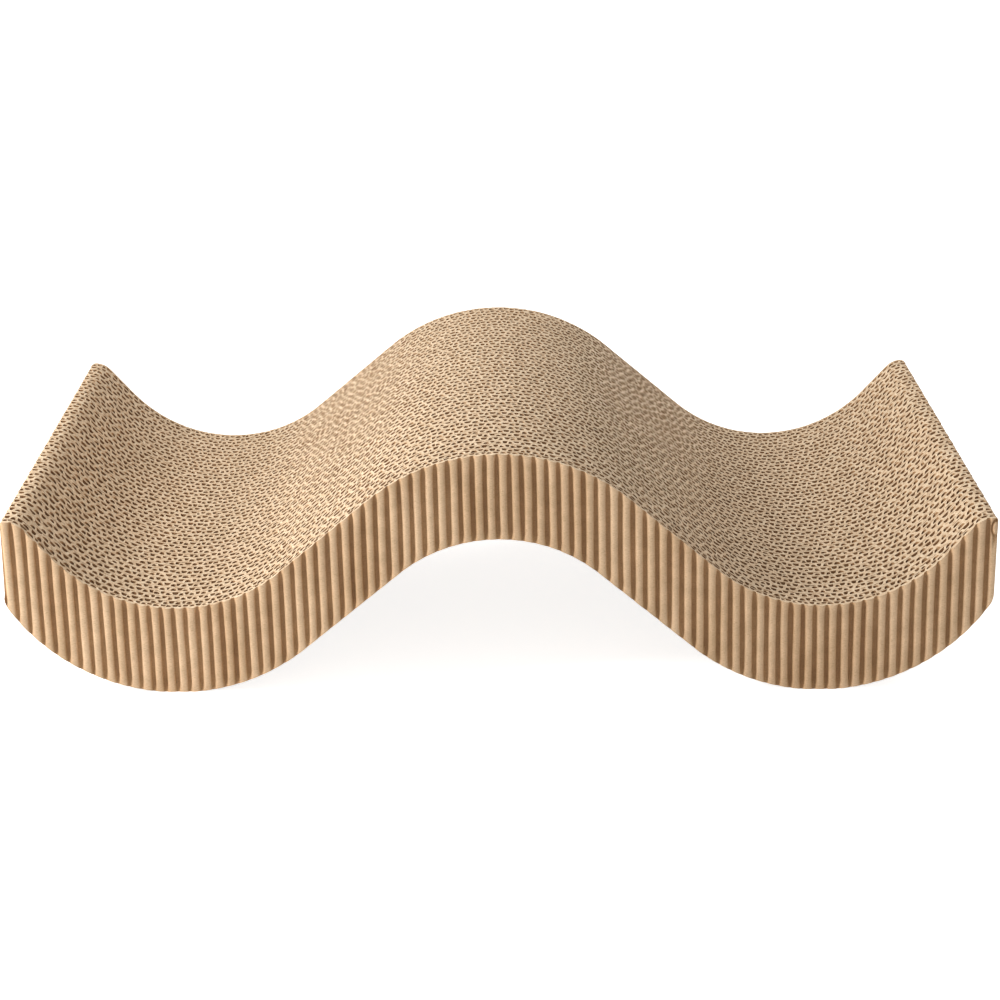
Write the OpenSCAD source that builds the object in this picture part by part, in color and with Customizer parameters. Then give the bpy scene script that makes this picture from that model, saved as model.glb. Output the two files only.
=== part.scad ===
// Wave-shaped cardboard cat scratcher: a stack of single-faced corrugated strips that stand on edge.
// The origin is the middle of the footprint, on the surface that the block rests on.
// X runs along the block, Y from front to back and Z up.

/* [Wave] */
// Distance from the middle of the block to the lowest line of each trough
trough_x = 160; // [145:1:190]
// Distance from each trough to the nearer end of the block
end_run = 84.5; // [76:0.5:94]
// Height of the middle crest above the floor
crest_h = 123.5; // [110:0.5:145]
// Height of the arch under the middle crest
arch_h = 80; // [65:0.5:95]
// Height of the board above the floor in each trough
trough_h = 44.5; // [36:0.5:56]
// Height of the level top at each end
end_h = 90; // [80:0.5:100]
// Straight length of each flank between crest and trough, top side
flank_top = 57; // [30:1:75]
// Straight length of each flank between crest and trough, underside
flank_under = 62; // [30:1:75]
// Slope of the rise from each trough to its end, in degrees
rise_slope = 48; // [42:1:55]
// Radius of the shoulder at each end
shoulder_r = 12; // [6:1:16]
// Radius of the lower corner at each end
end_corner_r = 10; // [4:1:16]
// Depth cut off the round of each foot for the flat land that it rests on
land_cut = 0.25; // [0.1:0.05:0.8]

/* [Board] */
// Depth of the whole stack from front to back
stack_depth = 296.1; // [240:0.1:350]
// Number of strips in the stack
strip_count = 47; // [8:1:60]
// Distance from one flute to the next
flute_pitch = 6; // [5:0.1:9]
// Width of one flute of the front strip over its round crest
flute_w = 3.6; // [3:0.1:4.5]
// Depth of the valleys between the flutes of the front strip
flute_depth = 2.2; // [1:0.1:3]
// Thickness of the other strips' liner with the foot of the fluted sheet glued to it
liner_t = 0.8; // [0.4:0.1:1.6]
// Lean of the flutes from upright, in degrees
flute_lean = 1.07; // [0:0.01:3]
// Sideways place of the front strip's flutes, from one flute valley at the middle of the block
front_shift = 0.7; // [-1:0.1:1]
// Largest sideways misplacement of the other strips' flutes
shift_play = 0.5; // [0:0.1:1]

/* [Hidden] */
// Shares of each side's two radii that go to the crest, the rest going to the trough
crest_top_share = 0.553;
crest_under_share = 0.437;
// Share of the flute pitch by which every second strip is shifted
brick_share = 0.5;
// Colours of the bare paper, taken in turn by the strips
kraft = [0.83, 0.69, 0.52];
kraft_dark = [0.78, 0.63, 0.46];
// Seed of the strips' misplacement
play_seed = 7;
// Overrun of cutting shapes past the faces that they cut
over = 5;
// Depth by which an arc laps the straight stretch that it meets
lap = 0.02;
$fn = 96;
crest_fn = 24;

length = 2 * (trough_x + end_run);
// One strip, liner and flutes together
strip_t = stack_depth / strip_count;
flutes = [for (k = [-ceil(length / flute_pitch / 2) - 2 : ceil(length / flute_pitch / 2) + 2]) k];
plays = rands(-shift_play, shift_play, strip_count, play_seed);

function strip_name(i) = str("strip_", i < 10 ? "0" : "", i);

// Each side of the wave is a crest arc and a trough arc, joined by a straight flank that touches both.
// Where the arcs' highest and lowest points lie run apart along the block and drop apart in height,
// and the flank is flat long, the two radii add up to this.
function radii_sum(run, drop, flat) = (run * run + drop * drop - flat * flat) / (2 * drop);
function flank_slope(run, drop, flat) =
    let (sum = radii_sum(run, drop, flat))
    atan2(run, sum - drop) - atan2(flat, sum);

// Point where a line of this slope touches a circle from above or from below
function touch_over(c, r, slope) = c + r * [sin(slope), cos(slope)];
function touch_under(c, r, slope) = c - r * [sin(slope), cos(slope)];
function mirrored(points) = [for (i = [len(points) - 1 : -1 : 0]) [-points[i].x, points[i].y]];

// Top side
top_drop = crest_h - trough_h;
top_sum = radii_sum(trough_x, top_drop, flank_top);
top_slope = flank_slope(trough_x, top_drop, flank_top);
crest_r = crest_top_share * top_sum;
trough_r = top_sum - crest_r;
crest_c = [0, crest_h - crest_r];
trough_c = [trough_x, trough_h + trough_r];
rise_start = touch_under(trough_c, trough_r, -rise_slope);
shoulder_run = shoulder_r * tan(rise_slope / 2);
shoulder_x = rise_start.x + (end_h - rise_start.y) / tan(rise_slope) + shoulder_run;
shoulder_c = [shoulder_x, end_h - shoulder_r];

// Underside
under_drop = arch_h + land_cut;
under_sum = radii_sum(trough_x, under_drop, flank_under);
under_slope = flank_slope(trough_x, under_drop, flank_under);
arch_r = crest_under_share * under_sum;
foot_r = under_sum - arch_r;
arch_c = [0, arch_h - arch_r];
foot_c = [trough_x, foot_r - land_cut];
// The lower corner's arc touches the end face, and the foot's arc from inside
corner_run = end_run - end_corner_r;
corner_drop = sqrt((foot_r - end_corner_r) ^ 2 - corner_run ^ 2);
corner_c = foot_c + [corner_run, -corner_drop];
corner_start = foot_c + foot_r / (foot_r - end_corner_r) * [corner_run, -corner_drop];

module both_sides() {
    children();
    mirror([1, 0, 0]) children();
}

// The shapes that make up the outline are slabs one strip thick, lying flat on their backs

module slab(points) {
    linear_extrude(strip_t) polygon(concat(points, mirrored(points)));
}

module disc(c, r, past = 0) {
    translate([c.x, c.y, -past]) cylinder(h = strip_t + 2 * past, r = r + lap);
}

// Everything below the top side
module below_top() {
    difference() {
        union() {
            slab([
                touch_over(crest_c, crest_r, top_slope),
                touch_under(trough_c, trough_r, top_slope),
                rise_start,
                touch_over(shoulder_c, shoulder_r, -rise_slope),
                shoulder_c + [0, shoulder_r],
                [length, end_h],
                [length, -over],
            ]);
            disc(crest_c, crest_r);
            both_sides() disc(shoulder_c, shoulder_r);
        }
        both_sides() disc(trough_c, trough_r, over);
    }
}

// Everything above the underside
module above_underside() {
    difference() {
        union() {
            slab([
                touch_over(arch_c, arch_r, under_slope),
                touch_under(foot_c, foot_r, under_slope),
                corner_start,
                corner_c + [end_corner_r, 0],
                [length, corner_c.y],
                [length, crest_h + over],
            ]);
            both_sides() {
                intersection() {
                    disc(foot_c, foot_r);
                    translate([0, -over, -over]) cube([corner_start.x, foot_c.y, strip_t + 2 * over]);
                }
                disc(corner_c, end_corner_r + lap);
            }
        }
        disc(arch_c, arch_r, over);
    }
}

// Die-cut outline that all strips share
module outline() {
    intersection() {
        below_top();
        above_underside();
        translate([-length / 2, 0, -over]) cube([length, crest_h + over, strip_t + 2 * over]);
    }
}

// Boards before they are cut out

module leaning() {
    rotate([0, -flute_lean, 0]) translate([0, 0, -crest_h]) children();
}

// The front strip's flutes show: they have round crests and shallow open valleys between them
module front_board(shift) {
    leaning() {
        translate([-length, flute_depth, 0]) cube([2 * length, strip_t - flute_depth, 3 * crest_h]);
        for (k = flutes) translate([(k + 1 / 2) * flute_pitch + shift, flute_w / 2, 0]) {
            cylinder(h = 3 * crest_h, d = flute_w, $fn = crest_fn);
            translate([-flute_w / 2, 0, 0])
                cube([flute_w, (strip_t + flute_depth - flute_w) / 2, 3 * crest_h]);
        }
    }
}

// The others have a liner along the back and straight folds, whose crests touch the strip in front
module inner_board(shift) {
    floor_y = strip_t - liner_t;
    folds = [for (k = flutes) each [
        [k * flute_pitch + shift, 0],
        [(k + 1 / 2) * flute_pitch + shift, floor_y],
    ]];
    first = folds[0];
    last = folds[len(folds) - 1];
    leaning() linear_extrude(3 * crest_h)
        polygon(concat(folds, [[last.x, strip_t], [first.x, strip_t]]));
}

// One strip, counted from the front
module strip(i) {
    color(i % 2 == 0 ? kraft_dark : kraft)
    translate([0, (i - 1) * strip_t - stack_depth / 2, 0]) intersection() {
        translate([0, strip_t, 0]) rotate([90, 0, 0]) outline();
        if (i == 1) front_board(front_shift);
        else inner_board(i % 2 * brick_share * flute_pitch + plays[i - 1]);
    }
}

for (i = [1 : strip_count])
    strip(i);
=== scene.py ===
import math

import bmesh
import bpy
from mathutils import Matrix, Vector, noise


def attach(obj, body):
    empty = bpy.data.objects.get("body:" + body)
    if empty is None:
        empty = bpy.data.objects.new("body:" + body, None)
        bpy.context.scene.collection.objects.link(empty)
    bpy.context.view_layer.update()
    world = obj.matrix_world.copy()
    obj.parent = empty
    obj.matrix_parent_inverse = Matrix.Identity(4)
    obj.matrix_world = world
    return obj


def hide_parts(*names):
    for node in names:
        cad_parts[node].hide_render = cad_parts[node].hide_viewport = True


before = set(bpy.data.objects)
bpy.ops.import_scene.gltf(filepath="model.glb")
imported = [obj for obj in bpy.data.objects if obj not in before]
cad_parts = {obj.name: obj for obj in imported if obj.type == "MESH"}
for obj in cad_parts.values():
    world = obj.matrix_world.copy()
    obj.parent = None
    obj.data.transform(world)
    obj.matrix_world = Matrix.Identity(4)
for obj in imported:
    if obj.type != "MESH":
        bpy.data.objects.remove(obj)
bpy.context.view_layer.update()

# The block stands on z = 0 with x along it, y from front to back and the middle of its footprint at the
# origin. Lengths are in metres and angles in degrees.

# The wave that every strip is cut to
wave = {
    "troughX": 0.160,  # from the middle to the lowest line of each trough
    "endRun": 0.0845,  # from there to the end
    "crestHeight": 0.1235,
    "archHeight": 0.080,
    "troughHeight": 0.0445,
    "endHeight": 0.090,
    "flankTop": 0.057,  # straight lengths between crest and trough
    "flankUnder": 0.062,
    "crestTopShare": 0.553,  # of the two radii's sum, on the top side and the underside
    "crestUnderShare": 0.437,
    "riseSlope": 48,
    "shoulderRadius": 0.012,
    "cornerRadius": 0.010,
    "landCut": 0.00025,
    "endRound": 0.0014,  # how far the blade crushed each end's top edge
}
halfLength = wave["troughX"] + wave["endRun"]


def crestToTrough(crestTop, troughLow, flank, crestShare):
    # a crest arc and a trough arc, joined by a straight flank that touches both
    run, drop = wave["troughX"], crestTop - troughLow
    radii = (run * run + drop * drop - flank * flank) / (2 * drop)
    slope = math.atan2(run, radii - drop) - math.atan2(flank, radii)
    crest, trough = crestShare * radii, (1 - crestShare) * radii
    return {
        "slope": slope,
        "crest": crest,
        "trough": trough,
        "crestZ": crestTop - crest,
        "troughZ": troughLow + trough,
        "flankStart": crest * math.sin(slope),
        "flankEnd": run - trough * math.sin(slope),
    }


topArcs = crestToTrough(wave["crestHeight"], wave["troughHeight"], wave["flankTop"], wave["crestTopShare"])
underArcs = crestToTrough(wave["archHeight"], -wave["landCut"], wave["flankUnder"], wave["crestUnderShare"])


def heightOn(arcs, x):
    if x < arcs["flankStart"]:
        return arcs["crestZ"] + math.sqrt(arcs["crest"] ** 2 - x * x)
    if x < arcs["flankEnd"]:
        touch = arcs["crestZ"] + arcs["crest"] * math.cos(arcs["slope"])
        return touch - (x - arcs["flankStart"]) * math.tan(arcs["slope"])
    return arcs["troughZ"] - math.sqrt(max(arcs["trough"] ** 2 - (x - wave["troughX"]) ** 2, 0))


# From each trough the top rises straight to a shoulder, and the underside's arc meets the end's lower corner
rise = math.radians(wave["riseSlope"])
riseX = wave["troughX"] + topArcs["trough"] * math.sin(rise)
riseZ = topArcs["troughZ"] - topArcs["trough"] * math.cos(rise)
shoulderX = riseX + (wave["endHeight"] - riseZ) / math.tan(rise) + wave["shoulderRadius"] * math.tan(rise / 2)
cornerX = halfLength - wave["cornerRadius"]
cornerReach = underArcs["trough"] - wave["cornerRadius"]
cornerZ = underArcs["troughZ"] - math.sqrt(cornerReach**2 - (cornerX - wave["troughX"]) ** 2)
cornerStart = wave["troughX"] + underArcs["trough"] / cornerReach * (cornerX - wave["troughX"])


def topAt(x):
    x = min(abs(x), halfLength)
    if x < riseX:
        return heightOn(topArcs, x)
    shoulder = wave["shoulderRadius"]
    if x < shoulderX - shoulder * math.sin(rise):
        return riseZ + (x - riseX) * math.tan(rise)
    if x < shoulderX:
        return wave["endHeight"] - shoulder + math.sqrt(shoulder**2 - (shoulderX - x) ** 2)
    crushed = wave["endRound"]
    past = max(x - halfLength + crushed, 0)
    return wave["endHeight"] - crushed + math.sqrt(max(crushed**2 - past**2, 0))


def undersideAt(x):
    x = min(abs(x), halfLength)
    if x < cornerStart:
        return max(heightOn(underArcs, x), 0)
    return cornerZ - math.sqrt(max(wave["cornerRadius"] ** 2 - (x - cornerX) ** 2, 0))


def nodeTree(name):
    material = bpy.data.materials.new(name)
    material.use_nodes = True
    tree = material.node_tree
    return material, tree, tree.nodes["Principled BSDF"]


def addNode(tree, kind, inputs=None, **settings):
    node = tree.nodes.new(kind)
    for name, value in settings.items():
        setattr(node, name, value)
    for name, value in (inputs or {}).items():
        if isinstance(value, bpy.types.NodeSocket):
            tree.links.new(value, node.inputs[name])
        else:
            node.inputs[name].default_value = value
    return node


def ramp(tree, factor, stops):
    node = addNode(tree, "ShaderNodeValToRGB", {"Fac": factor})
    elements = node.color_ramp.elements
    while len(elements) < len(stops):
        elements.new(1)
    for element, (place, colour) in zip(elements, stops):
        element.position = place
        element.color = (*colour, 1)
    return node.outputs["Color"]


def tinted(tree, colour, tint):
    node = addNode(tree, "ShaderNodeMix", data_type="RGBA", blend_type="MULTIPLY")
    node.inputs["Factor"].default_value = 1
    for socket, value in ((node.inputs[6], colour), (node.inputs[7], tint)):  # the colour sockets A and B
        tree.links.new(value, socket)
    return node.outputs[2]


def seenRays(tree):
    # 1 for the rays that show a background: from the camera, by reflection and through glass
    rays = addNode(tree, "ShaderNodeLightPath").outputs
    seen = rays["Is Camera Ray"]
    for kind in ("Is Glossy Ray", "Is Transmission Ray"):
        seen = addNode(tree, "ShaderNodeMath", {0: seen, 1: rays[kind]}, operation="MAXIMUM").outputs[0]
    return seen


# Kraft paper, with clouds in its colour and fibres that run down the strip
paper = {
    # the faces' darkest stop is painted shade, for the channels and the rib valleys
    "face": [(0, (0.33, 0.18, 0.085)), (0.5, (0.54, 0.335, 0.175)), (1, (0.77, 0.545, 0.345))],
    "cut": [(0.32, (0.58, 0.41, 0.255)), (0.5, (0.71, 0.535, 0.36)), (0.68, (0.79, 0.635, 0.45))],
    "cutScale": 420,
    "cutDetail": 2,
    "cloudScale": 140,
    "cloudDetail": 3,
    "cloudTint": [(0.3, (0.88, 0.87, 0.85)), (0.7, (1.05, 1.05, 1.05))],
    "fibreScale": (700, 900, 5200),
    "fibreDetail": 2,
    "fibreTint": [(0.32, (0.80, 0.76, 0.71)), (0.5, (1, 1, 1)), (0.75, (1.06, 1.06, 1.07))],
    "bump": {"Strength": 0.25, "Distance": 0.0002},
    "roughness": 0.9,
    "specular": 0.25,
}


def makeKraft(name, tones, cut):
    # a face takes its tone, painted shade included, from the mesh, a cut edge from patches of its own
    material, tree, shader = nodeTree(name)
    places = addNode(tree, "ShaderNodeTexCoord").outputs["Object"]

    def patches(vector, scale, detail):
        inputs = {"Vector": vector, "Scale": scale, "Detail": detail}
        return addNode(tree, "ShaderNodeTexNoise", inputs).outputs["Fac"]

    if cut:
        tone = patches(places, paper["cutScale"], paper["cutDetail"])
    else:
        tone = addNode(tree, "ShaderNodeAttribute", attribute_name="tone").outputs["Fac"]
    clouds = patches(places, paper["cloudScale"], paper["cloudDetail"])
    along = addNode(tree, "ShaderNodeMapping", {"Vector": places, "Scale": paper["fibreScale"]})
    fibres = patches(along.outputs["Vector"], 1, paper["fibreDetail"])
    colour = ramp(tree, tone, tones)
    for factor, tint in ((clouds, paper["cloudTint"]), (fibres, paper["fibreTint"])):
        colour = tinted(tree, colour, ramp(tree, factor, tint))
    tree.links.new(colour, shader.inputs["Base Color"])
    bump = addNode(tree, "ShaderNodeBump", {"Height": fibres, **paper["bump"]})
    tree.links.new(bump.outputs["Normal"], shader.inputs["Normal"])
    shader.inputs["Roughness"].default_value = paper["roughness"]
    shader.inputs["Specular IOR Level"].default_value = paper["specular"]
    return material


kraft = makeKraft("kraftPaper", paper["face"], cut=False)
cutKraft = makeKraft("cutKraftEdge", paper["cut"], cut=True)
print("paper made")

# The stack of strips, counted from the front
stack = {
    "strips": 47,
    "thickness": 0.0063,
    "pitch": 0.006,  # from one flute to the next
    "lean": 1.07,  # of the flutes from upright
    "leanSteps": 3,  # in which the outline's height over a leaning flute is found
    "bruised": 0.0022,  # how far down from the cut the paper is bruised
    "burrReach": 0.0011,  # how far down from the cut its edges are turned out
    "glueGap": 0.00002,  # to the strip in front
    "seedStep": 7.3,  # sets the unevenness of one strip apart from the next
    "sharpEdge": 48,  # edges that turn by more than this stay sharp
}
board = {  # of the strips inside the stack
    "segments": 12,  # of one flute
    "sheet": 0.00105,
    "liner": 0.0018,
    "linerSegments": 326,
    "channel": 0.41,  # width of the channels on each side of the sheet, of the pitch
    "roundness": 2.7,  # 2 makes the channels half round
    "variety": 0.25,  # of the channels' widths
    "shallow": 0.35,  # share of a channel's depth that a crushed one has lost
    "wander": 0.2,  # of the pitch
    "stagger": 0.00075,  # every second strip sits this far to the other side
    "shift": 0.0011,
    "endWall": 0.0012,
    "endPlay": 0.0004,  # how far a strip's folds may fall short of its ends
    "endZone": 0.006,  # towards the ends the unevenness fades out over this length
    "crush": 0.0006,
    "rough": 0.0005,
    "linerRough": 0.00025,
    "burr": 0.0004,
    "weld": 2e-6,  # points nearer than this become one
}
boardTones = {  # 0 is painted shade, for the channels and the rib valleys, and 1 the palest face of the paper
    # painted shade: the channels and the inner liners take this dark tone
    "channel": 0.08,
    "channelEnd": 0.4,  # added at the block's ends, lifting the painted shade there
    "endReach": 0.004,
    "wall": 0.2,
    "linerEnd": 0.5,
    "back": 0.7,  # of the last strip's liner
    "spread": 0.3,
}
ribs = {  # of the front strip, whose flutes show
    "segments": 20,
    "rows": 10,
    "spare": 3,  # flutes past both ends, cut off later
    "gather": 0.05,  # draws the segments to the valleys and crests
    "width": 0.0041,
    "depth": 0.0020,
    "variety": 0.10,  # of the ribs' widths
    "hollow": 0.0003,  # of the valleys' floors
    "roundness": 2.5,  # 2 makes the ribs half round
    "cutReach": 0.003,  # how far from the cuts the blade has changed the ribs
    "flareTop": 0.16,  # share by which they are wider at each cut
    "flareBottom": 0.12,
    "flatTop": 0.25,  # share of the valleys' depth that each cut has lost
    "flatBottom": 0.8,
    "plate": 0.0024,
    "phase": 0.0043,  # a rib's middle, on the floor
    "crowding": 0.0014,  # of the ribs at the left end
    "waver": 0.0003,
    "sheet": 0.0006,
    "liner": 0.0008,
    "burr": 0.0003,
    "crestTone": 0.92,
    "valleyPaintedShade": 0.67,  # painted shade: how much darker the valleys' floors are painted
    "toneSpread": 0.25,
}
tear = {  # in the front strip's last rib
    "place": (0.2435, 0.0846),
    "size": (0.0018, 0.0042),
    "depth": 0.0015,
    "slit": 0.22,  # width of the slit, and how far out it and its finer mesh go, of the size
    "slitReach": 1.6,
    "meshReach": 2.2,
    "cuts": 4,
    "hinge": 0.3,  # right of this share of the width the lip holds
    "held": 0.3,  # and the slit has this share of its depth
    # painted shade that darkens the slit
    "slitPaintedShade": 0.8,
    "backing": 0.0003,  # paper left behind the slit
}
# How fast each kind of unevenness changes in the noise's three directions, or its fixed place in a
# direction that it doesn't use
unevenness = {
    "shift": (1.37, 4.4, 0.5),
    "endPlay": (2.9, 3.3, 7.7),
    "width": (3.3, 1, 2.7),
    "wander": (0.9, 1, 3.1),
    "shallow": (2.1, 1, 5.3),
    "crushAlong": (1.7, 1, 6.1),
    "crushAcross": (1.7, 1, 1.7),
    "rough": (2.3, 1, 8.8),
    "tone": (0.31, 3.7, 0.4),
    "burr": (900, 900, 1),
    "linerRough": (700, 1, 8.8),
    "linerTone": (21, 1.9, 7),
    "ribWidth": (3.3, 1.6, 2.2),
    "ribWaver": (2.7, 2.3, 4.4),
    "ribTone": (0.4, 1.3, 1.1),
}
stackFront = -stack["strips"] * stack["thickness"] / 2
leanSlope = math.tan(math.radians(stack["lean"]))


def uneven(kind, first, second=1, third=1):
    # between -1 and 1, and the same on each run
    paces = unevenness[kind]
    return noise.noise((first * paces[0], second * paces[1], third * paces[2]))


def limit(value, low, high):
    return min(max(value, low), high)


def settle(across, heightAt):
    # height of the outline over a point of a leaning flute, which meets the floor at this x
    z = heightAt(across)
    for _ in range(stack["leanSteps"]):
        z = heightAt(across - leanSlope * z)
    return z


def sheetGrid(columns, rows):
    sheet = bmesh.new()
    bmesh.ops.create_grid(sheet, x_segments=columns, y_segments=rows, size=0.5)
    return sheet, sheet.verts.layers.float.new("tone")


def trimEnds(sheet):
    for side in (-1, 1):
        bmesh.ops.bisect_plane(
            sheet,
            geom=sheet.verts[:] + sheet.edges[:] + sheet.faces[:],
            dist=1e-6,
            plane_co=(side * halfLength, 0, 0),
            plane_no=(side, 0, 0),
            clear_outer=True,
        )


def keepInside(sheet, front, back):
    # what the unevenness pushed past the die's cut or into a neighbour goes back
    for vertex in sheet.verts:
        x, y, z = vertex.co
        x = limit(x, -halfLength, halfLength)
        vertex.co = (x, limit(y, front, back), limit(z, undersideAt(x), topAt(x)))


def endShare(x, reach):
    # 0 in the middle of the block, rising to 1 at its ends
    return limit(1 - (halfLength - abs(x)) / reach, 0, 1)


def bruise(sheet, seed, burr):
    # the blade turns the paper's cut edges out by up to the burr
    sheet.normal_update()
    moves = []
    for vertex in sheet.verts:
        x, y, z = vertex.co
        if z > topAt(x) - stack["burrReach"]:
            moves.append((vertex, vertex.normal * burr * uneven("burr", x, y, seed)))
    for vertex, move in moves:
        vertex.co += Vector((move.x, move.y, 0))


def thicken(sheet):
    # doubles the sheet, marks the faces between both sides as cut and returns the other side's vertices
    grown = bmesh.ops.extrude_face_region(sheet, geom=sheet.faces[:])["geom"]
    behind = {part for part in grown if isinstance(part, bmesh.types.BMVert)}
    for polygon in sheet.faces:
        shared = sum(vertex in behind for vertex in polygon.verts)
        polygon.material_index = 1 if 0 < shared < len(polygon.verts) else 0
    return behind


def closeEnds(sheet):
    # the block's ends show the paper's face, not its cut edge
    for polygon in sheet.faces:
        if all(abs(vertex.co.x) > halfLength - board["endPlay"] for vertex in polygon.verts):
            polygon.material_index = 0


def channelPoint(turn, width, roundness):
    # place along one flute and share of the channel's depth, with the channel's middle at 0
    part = 4 * abs(turn)  # a quarter of the flute to each side is curved and the rest is flat
    if part < 1:
        angle = part * math.pi / 2
        place = width / 2 * math.sin(angle) ** (2 / roundness)
        depth = max(math.cos(angle), 0) ** (2 / roundness)
    else:
        place = width / 2 + (1 - width) / 2 * (part - 1)
        depth = 0
    return math.copysign(place, turn), depth


def flutedSheet(settings, number, near, far):
    # channels open to the front and to the back in turn, between the y of both liners
    seed, odd = number * stack["seedStep"], number % 2
    reach = round(halfLength / stack["pitch"] + 0.25) - 0.25  # flutes from the middle to each end's wall
    wallReach = reach + 0.5 / settings["segments"]
    columns = round(2 * reach * settings["segments"]) + 2  # one more for each wall
    sheet, toneLayer = sheetGrid(columns, 2)
    behind = thicken(sheet)
    pitch = (halfLength - settings["endWall"]) / (reach - 0.25 + settings["channel"] / 2)
    deep = far - near - settings["sheet"]
    shift = settings["stagger"] * (1 - 2 * odd) + settings["shift"] * uneven("shift", number)
    for vertex in sheet.verts:
        across = vertex.co.x * columns / settings["segments"]
        turn = limit(across, -reach, reach)
        row = round((vertex.co.y + 0.5) * 2)  # 0 at the underside, 1 under the bruised part and 2 at the top
        free = 1 - endShare(turn * pitch, settings["endZone"])
        half = 0.5 if (vertex in behind) != bool(odd) else 0
        middle = math.floor(turn + 0.5 - half) + half
        width = settings["channel"] * (1 + free * settings["variety"] * uneven("width", middle, seed))
        place, depth = channelPoint(turn - middle, width, settings["roundness"])
        depth *= deep * (1 - settings["shallow"] * max(uneven("shallow", middle, seed), 0))
        wall = abs(across) > wallReach
        if wall:
            short = settings["endPlay"] * abs(uneven("endPlay", number, math.copysign(1, across)))
            x = math.copysign(halfLength - short, across)
        else:
            along = middle + place + free * settings["wander"] * uneven("wander", turn, seed)
            x = along * pitch + free * shift
        y = far - depth if vertex in behind else near + depth
        z = topAt(x) if row else undersideAt(x)
        x -= free * leanSlope * (z - wave["endHeight"])
        z = topAt(x) if row else undersideAt(x)
        if row == 1:
            z -= stack["bruised"]
        if row == 2:
            x += free * settings["crush"] * uneven("crushAlong", turn, seed)
            y = limit(y + settings["crush"] * uneven("crushAcross", turn, seed), near, far)
            z = topAt(x) - settings["rough"] * abs(uneven("rough", turn, seed))
        vertex.co = (x, y, z)
        # painted shade in the channels, lifted towards the block's ends
        ending = boardTones["channelEnd"] * endShare(x, boardTones["endReach"])
        tone = boardTones["wall"] if wall else boardTones["channel"] + ending
        vertex[toneLayer] = tone + boardTones["spread"] * uneven("tone", turn, seed, row)
    closeEnds(sheet)
    bmesh.ops.recalc_face_normals(sheet, faces=sheet.faces[:])
    bruise(sheet, seed, settings["burr"])
    keepInside(sheet, near, far)
    bmesh.ops.remove_doubles(sheet, verts=sheet.verts[:], dist=settings["weld"])
    return sheet


def linerSheet(settings, number, back, tone):
    seed = number * stack["seedStep"]
    sheet, toneLayer = sheetGrid(settings["linerSegments"], 2)
    behind = thicken(sheet)
    for vertex in sheet.verts:
        x = vertex.co.x * 2 * halfLength
        row = round((vertex.co.y + 0.5) * 2)
        z = topAt(x) if row else undersideAt(x)
        if row == 1:
            z -= stack["bruised"]
        if row == 2:
            z -= settings["linerRough"] * abs(uneven("linerRough", x, seed))
        vertex.co = (x, back if vertex in behind else back - settings["liner"], z)
        atEnd = abs(x) > halfLength - settings["endPlay"]
        own = max(tone, boardTones["linerEnd"]) if atEnd else tone
        vertex[toneLayer] = own + boardTones["spread"] * uneven("linerTone", x, seed, z)
    closeEnds(sheet)
    bmesh.ops.recalc_face_normals(sheet, faces=sheet.faces[:])
    return sheet


def tearRib(sheet, toneLayer, front):
    # the last rib's paper has come loose at its top: a curled slit runs round a loose lip, with painted shade
    # in the slit
    tearX, tearZ = tear["place"]
    wide, high = tear["size"]

    def away(vertex):
        return math.hypot((vertex.co.x - tearX) / wide, (vertex.co.z - tearZ) / high)

    def torn(vertex, reach):
        return away(vertex) < reach and vertex.co.y < front + ribs["depth"]

    near = [edge for edge in sheet.edges if all(torn(vertex, tear["meshReach"]) for vertex in edge.verts)]
    bmesh.ops.subdivide_edges(sheet, edges=near, cuts=tear["cuts"], use_grid_fill=True)
    for vertex in sheet.verts:
        if torn(vertex, tear["slitReach"]):
            slit = math.exp(-(((away(vertex) - 1) / tear["slit"]) ** 2))
            if vertex.co.x > tearX + tear["hinge"] * wide:
                slit *= tear["held"]
            deepest = front + ribs["plate"] - tear["backing"]
            vertex.co.y = min(vertex.co.y + slit * tear["depth"], deepest)
            # painted shade in the slit
            vertex[toneLayer] *= 1 - tear["slitPaintedShade"] * slit


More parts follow.
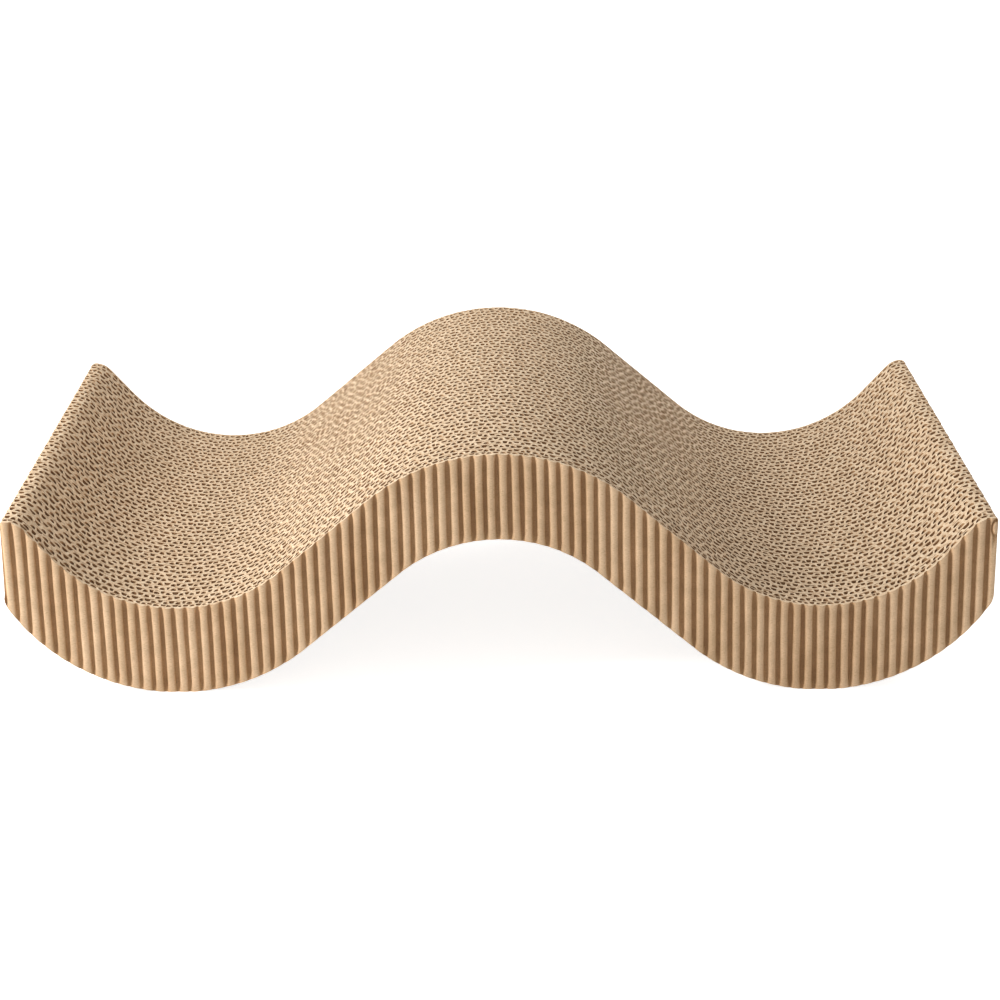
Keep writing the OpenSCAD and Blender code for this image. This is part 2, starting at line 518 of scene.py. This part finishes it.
def ribbedPlate(front):
    # the front strip's face: half-round ribs on a plate, flared where the blade cut them
    pitch = stack["pitch"]
    flutes = math.ceil(2 * halfLength / pitch) + ribs["spare"]
    sheet, toneLayer = sheetGrid(flutes * ribs["segments"], ribs["rows"])
    for vertex in sheet.verts:
        turn = vertex.co.x * flutes
        turn += ribs["gather"] * math.sin(4 * math.pi * turn)
        up = vertex.co.y + 0.5
        flute = math.floor(turn + 0.5)
        x = turn * pitch + ribs["phase"]
        x += ribs["crowding"] * (max(-x - wave["troughX"], 0) / wave["endRun"]) ** 2
        bottom, top = settle(x, undersideAt), settle(x, topAt)
        z = bottom + (1 - math.cos(math.pi * up)) / 2 * (top - bottom)
        atTop = max(0, 1 - (top - z) / ribs["cutReach"])
        atBottom = max(0, 1 - (z - bottom) / ribs["cutReach"])
        flare = 1 + ribs["flareTop"] * atTop + ribs["flareBottom"] * atBottom
        width = ribs["width"] * flare * (1 + ribs["variety"] * uneven("ribWidth", flute, up))
        reach = min(abs(turn - flute) * 2 * pitch / width, 1)
        valley = 1 - (1 - reach ** ribs["roundness"]) ** (1 / ribs["roundness"])
        floorShare = max(abs(turn - flute) - width / pitch / 2, 0) / (0.5 - width / pitch / 2)
        depth = ribs["depth"] * (1 - ribs["flatTop"] * atTop - ribs["flatBottom"] * atBottom)
        hollow = ribs["hollow"] * (1 - atTop) * (1 - atBottom) * math.sin(math.pi / 2 * floorShare)
        x += ribs["waver"] * uneven("ribWaver", flute, up)
        vertex.co = (x - leanSlope * z, front + depth * valley + hollow, z)
        # painted shade darkens the valleys' floors
        tone = ribs["crestTone"] - ribs["valleyPaintedShade"] * valley
        vertex[toneLayer] = tone + ribs["toneSpread"] * uneven("ribTone", turn, up)
    trimEnds(sheet)
    for vertex in thicken(sheet):
        vertex.co.y = front + ribs["plate"]
    bmesh.ops.recalc_face_normals(sheet, faces=sheet.faces[:])
    keepInside(sheet, front, front + ribs["plate"])
    tearRib(sheet, toneLayer, front)
    return sheet


def shadeSheet(sheet):
    for polygon in sheet.faces:
        polygon.smooth = True
    for edge in sheet.edges:
        edge.smooth = edge.calc_face_angle(0) < math.radians(stack["sharpEdge"])


def joinSheets(name, sheets):
    whole = bmesh.new()
    for sheet in sheets:
        shadeSheet(sheet)
        part = bpy.data.meshes.new("part")
        sheet.to_mesh(part)
        sheet.free()
        whole.from_mesh(part)
        bpy.data.meshes.remove(part)
    mesh = bpy.data.meshes.new(name)
    whole.to_mesh(mesh)
    whole.free()
    mesh.materials.append(kraft)
    mesh.materials.append(cutKraft)
    strip = bpy.data.objects.new(name, mesh)
    bpy.context.scene.collection.objects.link(strip)
    return strip


def makeStrip(number):
    front = stackFront + (number - 1) * stack["thickness"]
    back = front + stack["thickness"]
    # the inner liners take the channels' painted shade, the last one its own back tone
    linerTone = boardTones["back" if number == stack["strips"] else "channel"]
    if number == 1:
        settings = {**board, "sheet": ribs["sheet"], "liner": ribs["liner"], "burr": ribs["burr"]}
        near = front + ribs["plate"]
        sheets = [ribbedPlate(front)]
    else:
        settings = board
        near = front + stack["glueGap"]
        sheets = []
    sheets.append(flutedSheet(settings, number, near, back - settings["liner"]))
    sheets.append(linerSheet(settings, number, back, linerTone))
    strip = joinSheets(f"strip_{number:02d}_board", sheets)
    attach(strip, "root")
    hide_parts(f"strip_{number:02d}")


for number in range(1, stack["strips"] + 1):
    makeStrip(number)
print("strips made")

# Floor, light and camera
studio = {
    "floorSize": 8,
    "floorColour": (0.86, 0.86, 0.86),
    "floorRoughness": 0.9,
    "floorSpecular": 0.1,
    "floorGlow": 0.84,  # added where the floor is the picture's background
    "ambient": 0.465,
    "background": 1.0,
    "lamps": {
        "keyLamp": {"place": (-0.85, -0.35, 0.70), "size": 0.3, "power": 9.7},
        "sideLamp": {"place": (-1.60, -0.15, 0.60), "size": 0.4, "power": 9.7},
        "backLamp": {"place": (0.70, 0.90, 0.70), "size": 0.4, "power": 5.4},
    },
    "lit": (0, 0, 0.05),
}
view = {
    "place": (0.0007, -1.298, 0.483),
    "down": 18.4,
    "roll": -0.25,
    "lens": 89.5,  # this and the sensor are in millimetres
    "sensor": 36,
    "nearest": 0.05,
}


def makeFloor():
    floor = bmesh.new()
    bmesh.ops.create_grid(floor, x_segments=1, y_segments=1, size=studio["floorSize"])
    mesh = bpy.data.meshes.new("floor")
    floor.to_mesh(mesh)
    floor.free()
    material, tree, shader = nodeTree("floorPaper")
    shader.inputs["Base Color"].default_value = (*studio["floorColour"], 1)
    shader.inputs["Roughness"].default_value = studio["floorRoughness"]
    shader.inputs["Specular IOR Level"].default_value = studio["floorSpecular"]
    glow = addNode(tree, "ShaderNodeEmission", {"Color": (1, 1, 1, 1), "Strength": studio["floorGlow"]})
    none = addNode(tree, "ShaderNodeEmission", {"Color": (0, 0, 0, 1), "Strength": 0})
    extra = addNode(tree, "ShaderNodeMixShader", {0: seenRays(tree), 1: none.outputs[0], 2: glow.outputs[0]})
    both = addNode(tree, "ShaderNodeAddShader", {0: shader.outputs[0], 1: extra.outputs[0]})
    tree.links.new(both.outputs[0], tree.nodes["Material Output"].inputs["Surface"])
    mesh.materials.append(material)
    floorObject = bpy.data.objects.new("floor", mesh)
    bpy.context.scene.collection.objects.link(floorObject)


def makeLamp(name, lamp):
    light = bpy.data.lights.new(name, "AREA")
    light.energy = lamp["power"]
    light.size = lamp["size"]
    holder = bpy.data.objects.new(name, light)
    place = Vector(lamp["place"])
    aim = (Vector(studio["lit"]) - place).to_track_quat("-Z", "Y")
    holder.matrix_world = Matrix.Translation(place) @ aim.to_matrix().to_4x4()
    bpy.context.scene.collection.objects.link(holder)


def makeWorld():
    world = bpy.data.worlds.new("studioWorld")
    world.use_nodes = True
    tree = world.node_tree
    background = tree.nodes["Background"]
    levels = {"Value": seenRays(tree), "To Min": studio["ambient"], "To Max": studio["background"]}
    level = addNode(tree, "ShaderNodeMapRange", levels)
    background.inputs["Color"].default_value = (1, 1, 1, 1)
    tree.links.new(level.outputs["Result"], background.inputs["Strength"])
    bpy.context.scene.world = world


def makeCamera():
    lens = bpy.data.cameras.new("camera")
    lens.sensor_width = view["sensor"]
    lens.lens = view["lens"]
    lens.clip_start = view["nearest"]
    camera = bpy.data.objects.new("camera", lens)
    camera.matrix_world = (
        Matrix.Translation(view["place"])
        @ Matrix.Rotation(math.radians(90 - view["down"]), 4, "X")
        @ Matrix.Rotation(math.radians(view["roll"]), 4, "Z")
    )
    bpy.context.scene.collection.objects.link(camera)
    bpy.context.scene.camera = camera


makeFloor()
for name, lamp in studio["lamps"].items():
    makeLamp(name, lamp)
makeWorld()
makeCamera()
bpy.context.scene.view_settings.view_transform = "Standard"
print("floor, light and camera made")
